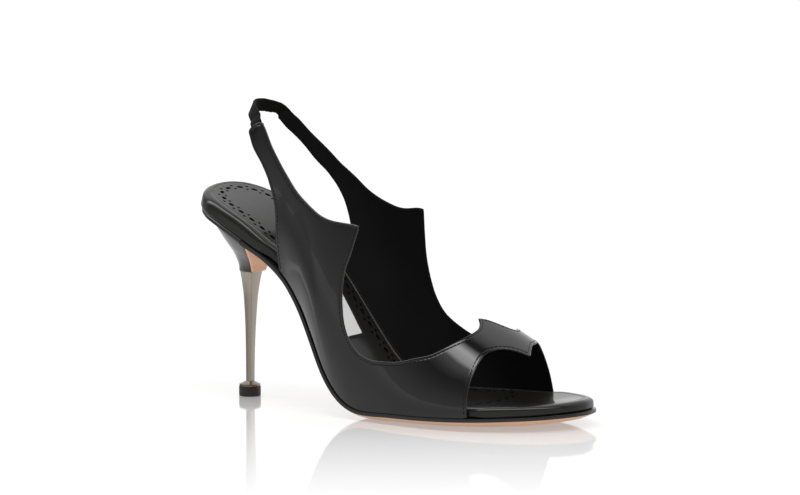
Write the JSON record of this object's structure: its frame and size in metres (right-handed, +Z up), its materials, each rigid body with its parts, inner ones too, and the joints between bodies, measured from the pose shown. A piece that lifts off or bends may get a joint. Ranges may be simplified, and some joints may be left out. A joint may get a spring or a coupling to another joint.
{
  "type": "slingback sandal",
  "caption": "Right foot slingback sandal with an open toe, tall quarters, an elastic back strap and a slim metal stiletto heel.",
  "frame": {"origin": "centre of the heel tip's flat bottom, on the floor", "axes": "+X from heel to toe, +Y to the wearer's left, which is the medial side of this right shoe, +Z up"},
  "size_m": [0.2172, 0.0781, 0.1508],
  "materials": {
    "patent_leather": "black patent leather, high gloss",
    "insole_leather": "black satin leather, perforated near the edge",
    "sole_leather": "natural tan leather, smooth, black painted edge",
    "edge_paint": "black painted leather edge, satin",
    "heel_cover": "black patent leather over a moulded block",
    "polished_metal": "warm grey polished metal",
    "dark_metal": "dark plated metal",
    "rubber": "black heel tip rubber, matt",
    "elastic_webbing": "charcoal elastic webbing, matt"
  },
  "bodies": {
    "root": {"upper": "patent_leather", "footbed": "insole_leather", "outsole": "sole_leather", "seat_rand": "edge_paint", "heel_block": "heel_cover", "heel_shaft": "polished_metal", "heel_collar": "dark_metal", "heel_tip": "rubber", "sling_elastic": "elastic_webbing"}
  },
  "joints": []
}
